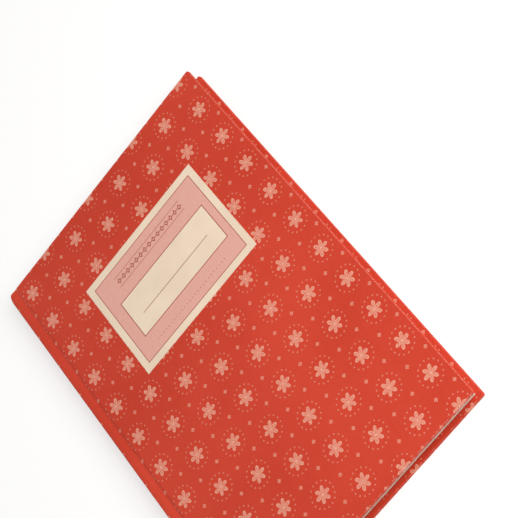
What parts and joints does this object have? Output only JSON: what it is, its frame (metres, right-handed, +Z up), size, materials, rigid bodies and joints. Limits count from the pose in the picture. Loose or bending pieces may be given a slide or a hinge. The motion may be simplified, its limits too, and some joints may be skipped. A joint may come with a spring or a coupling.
{
  "type": "correspondence register book",
  "caption": "Hard-cover register: sewn ruled leaves in a red paper-covered case with a pasted label; the cover, spine and leaves hinge open to a flat spread.",
  "frame": {"origin": "centre of the closed book's outline, on the surface that the back cover lies on", "axes": "+X from the spine to the fore-edge, +Y from tail to head, +Z up out of the front cover"},
  "size_m": [0.22, 0.33, 0.0173],
  "materials": {
    "red_cover_paper": "satin",
    "grey_board": "matte",
    "spine_card_stock": "matte",
    "label_paper": "satin",
    "end_paper": "matte",
    "leaf_paper": "matte",
    "mull_gauze": "matte",
    "kraft_liner": "matte",
    "linen_thread": "matte"
  },
  "bodies": {
    "back": {"back_board": "grey_board", "back_cover_paper": "red_cover_paper", "back_mull_flap": "mull_gauze", "back_pastedown": "end_paper", "back_flyleaf": "end_paper", "section_06": "leaf_paper", "section_07": "leaf_paper", "section_08": "leaf_paper", "section_09": "leaf_paper", "section_10": "leaf_paper"},
    "spine": {"spine_card": "spine_card_stock", "spine_paper": "red_cover_paper"},
    "front_cover": {"front_board": "grey_board", "front_cover_paper": "red_cover_paper", "front_mull_flap": "mull_gauze", "front_pastedown": "end_paper", "cover_label": "label_paper"},
    "block_back": {"liner": "kraft_liner", "mull": "mull_gauze", "thread_1": "linen_thread", "thread_2": "linen_thread", "thread_3": "linen_thread", "thread_4": "linen_thread", "thread_5": "linen_thread"},
    "first_flyleaf": {"front_flyleaf": "end_paper"},
    "leaves_01": {"section_01": "leaf_paper"},
    "leaves_02": {"section_02": "leaf_paper"},
    "leaves_03": {"section_03": "leaf_paper"},
    "leaves_04": {"section_04": "leaf_paper"},
    "leaves_05": {"section_05": "leaf_paper"}
  },
  "joints": [
    {"name": "back_fold", "type": "hinge", "parent": "back", "child": "block_back", "pos_m": [-0.1077, 0, 0.00343], "axis": [0, -1, 0], "range_deg": [0, 90]},
    {"name": "spine_fold", "type": "hinge", "parent": "back", "child": "spine", "pos_m": [-0.11, 0, 0], "axis": [0, -1, 0], "range_deg": [0, 90]},
    {"name": "cover_hinge", "type": "hinge", "parent": "spine", "child": "front_cover", "pos_m": [-0.11, 0, 0.0171], "axis": [0, -1, 0], "range_deg": [0, 89.6]},
    {"name": "flyleaf_turn", "type": "hinge", "parent": "block_back", "child": "first_flyleaf", "pos_m": [-0.1077, 0, 0.01367], "axis": [0, -1, 0], "range_deg": [0, 89.6]},
    {"name": "leaves_01_turn", "type": "hinge", "parent": "block_back", "child": "leaves_01", "pos_m": [-0.1077, 0, 0.01367], "axis": [0, -1, 0], "range_deg": [0, 89.4]},
    {"name": "leaves_02_turn", "type": "hinge", "parent": "block_back", "child": "leaves_02", "pos_m": [-0.1077, 0, 0.01367], "axis": [0, -1, 0], "range_deg": [0, 89.15]},
    {"name": "leaves_03_turn", "type": "hinge", "parent": "block_back", "child": "leaves_03", "pos_m": [-0.1077, 0, 0.01367], "axis": [0, -1, 0], "range_deg": [0, 88.9]},
    {"name": "leaves_04_turn", "type": "hinge", "parent": "block_back", "child": "leaves_04", "pos_m": [-0.1077, 0, 0.01367], "axis": [0, -1, 0], "range_deg": [0, 88.65]},
    {"name": "leaves_05_turn", "type": "hinge", "parent": "block_back", "child": "leaves_05", "pos_m": [-0.1077, 0, 0.01367], "axis": [0, -1, 0], "range_deg": [0, 88.4]}
  ],
  "couplings": [
    {"joint": "spine_fold", "follows": "back_fold", "ratio": 1},
    {"joint": "cover_hinge", "follows": "back_fold", "ratio": 0.9955},
    {"joint": "flyleaf_turn", "follows": "back_fold", "ratio": 0.9945},
    {"joint": "leaves_01_turn", "follows": "back_fold", "ratio": 0.99328},
    {"joint": "leaves_02_turn", "follows": "back_fold", "ratio": 0.9905},
    {"joint": "leaves_03_turn", "follows": "back_fold", "ratio": 0.98772},
    {"joint": "leaves_04_turn", "follows": "back_fold", "ratio": 0.98494},
    {"joint": "leaves_05_turn", "follows": "back_fold", "ratio": 0.98217}
  ]
}
